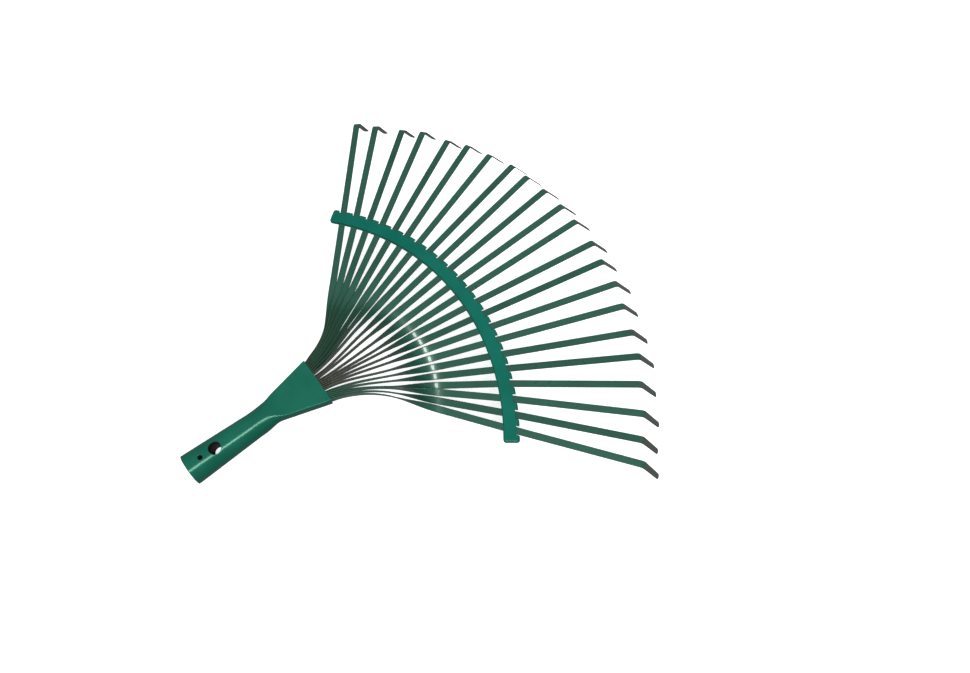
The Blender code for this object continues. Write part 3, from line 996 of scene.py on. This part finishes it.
def strip_enamel(name, thin, full):
    """Enamel on strip: thin on the rolled edges, tinted brown-grey or deep green in the bow, and
    lighter grey-brown on the tips as a painted reflection of the pale floor, partly scuffed.
    """
    finish = Finish(name, {"Coat Roughness": 0.08, "Specular Tint": paint(0.75, 1.0, 0.85)})
    cloud = finish.noise(*STRIP_CLOUD)
    grain = finish.noise(*STRIP_GRAIN)
    peel = finish.noise(*STRIP_PEEL)
    past = finish.mark("past_elbow")
    across = abs(finish.mark("across"))
    coat = finish.mix(finish.rise(cloud + finish.mark("tone") * 0.25, *STRIP_COAT), thin, full)
    # The bow near the throat is tinted brown-grey on some tines and deep green on others
    bow = finish.rise((cloud - 0.5) * BOW_WAVER - past, *BOW_TINT_SPAN)
    brown_bow = bow * finish.mark("bow_brown_share")
    green_bow = bow - brown_bow
    marked_coat = finish.mix(brown_bow * 0.55, finish.mix(green_bow * 0.6, coat, BOW_DEEP_GREEN), BOW_BROWN_GREY)
    edge = finish.rise(across + (grain - 0.5) * EDGE_WAVER, *EDGE_WEAR)
    under_edge = finish.mix(brown_bow, PRIMER, EDGE_STEEL)
    edged = finish.mix(edge * (0.9 - green_bow * 0.75), marked_coat, under_edge)
    # The tips are painted lighter grey-brown: a painted reflection of the pale floor on their
    # sloping faces, partly scuffed steel that is also rougher and grainier
    tip_scuff_and_reflection = finish.rise(past + (cloud - 0.5) * TIP_WAVER, *TIP_SCUFF_AND_REFLECTION)
    painted_tip_reflection = tip_scuff_and_reflection * (0.62 + (grain - 0.5) * 0.8)
    relief = peel * 0.6 + grain * tip_scuff_and_reflection * 0.6
    return finish.shade({"Base Color": finish.mix(painted_tip_reflection, edged, TIP_REFLECTION_GREY),
                         "Roughness": 0.30 + (cloud - 0.5) * 0.18 + tip_scuff_and_reflection * 0.16,
                         "Coat Weight": 0.65 - finish.rise(across, *GLOSS_FADE) * 0.6,
                         "Normal": finish.bump(relief, 0.15, STRIP_RELIEF)})


# Studio


def floor_finish(name, dim, bright):
    """A faintly cloudy floor with a glow of its own."""
    finish = Finish(name, {"Roughness": 0.75, "Emission Color": FLOOR_GLOW,
                          "Emission Strength": 0.6})
    cloud = finish.noise(*FLOOR_CLOUD)
    return finish.shade({"Base Color": finish.mix(cloud, dim, bright)})


def add_floor():
    mesh = bmesh.new()
    mesh.faces.new([mesh.verts.new((x * FLOOR_REACH, y * FLOOR_REACH, 0.0))
                    for x, y in ((-1, -1), (1, -1), (1, 1), (-1, 1))])
    data = bpy.data.meshes.new("pale_floor")
    mesh.to_mesh(data)
    mesh.free()
    data.materials.append(floor_finish("pale_floor", *FLOOR_COATS))
    floor = bpy.data.objects.new("pale_floor", data)
    floor.visible_glossy = False
    floor.visible_diffuse = False
    bpy.context.collection.objects.link(floor)


def add_light(name, place, target, size, power, mirrored):
    """A soft box that faces a target; the enamel reflects it only if it is mirrored."""
    data = bpy.data.lights.new(name, "AREA")
    data.shape = "RECTANGLE"
    data.size, data.size_y = size
    data.energy = power
    box = bpy.data.objects.new(name, data)
    box.location = place
    box.rotation_euler = (Vector(target) - Vector(place)).to_track_quat("-Z", "Y").to_euler()
    box.visible_glossy = mirrored
    bpy.context.collection.objects.link(box)


def add_camera():
    data = bpy.data.cameras.new("studio_camera")
    data.sensor_width = CAMERA_SENSOR_MM
    data.lens = CAMERA_LENS_MM
    data.shift_x, data.shift_y = CAMERA_SHIFT_SHARES
    camera = bpy.data.objects.new("studio_camera", data)
    camera.location = CAMERA_PLACE
    camera.rotation_euler = [math.radians(turn) for turn in CAMERA_TURN]
    bpy.context.collection.objects.link(camera)
    bpy.context.scene.camera = camera


def add_world():
    world = bpy.data.worlds.new("studio")
    world.use_nodes = True
    background = world.node_tree.nodes["Background"]
    background.inputs["Color"].default_value = SKY
    background.inputs["Strength"].default_value = SKY_STRENGTH
    bpy.context.scene.world = world
    bpy.context.scene.view_settings.view_transform = "Standard"


def main():
    socket_enamel = sheet_enamel("socket_enamel", *SOCKET_COATS)
    # The socket's back is near-black: painted shade inside its bore
    socket_bore_shade = bore_shade_finish("socket_bore_shade", *BORE_SHADE_COATS)
    bar_enamel = sheet_enamel("crossbar_enamel", *BAR_COATS)
    tine_enamel = strip_enamel("tine_enamel", *TINE_COATS)

    add_sheet("pole_socket", socket_mesh(), "socket", socket_enamel, socket_bore_shade)
    add_sheet("spacer_bar", crossbar_mesh(), "crossbar", bar_enamel, bar_enamel)
    tones = random.Random(TONE_SEED)
    for order in range(TINE_COUNT):
        node = f"tine_{order + 1:02d}"
        mesh = tine_mesh(order, tones.uniform(-1.0, 1.0))
        level_shading(add_piece(node + "_strip", mesh, node, tine_enamel))

    add_floor()
    add_light("overhead", OVERHEAD_PLACE, OVERHEAD_TARGET, OVERHEAD_SIZE, OVERHEAD_POWER, False)
    add_light("key_box", KEY_PLACE, KEY_TARGET, KEY_SIZE, KEY_POWER, True)
    add_world()
    add_camera()


main()
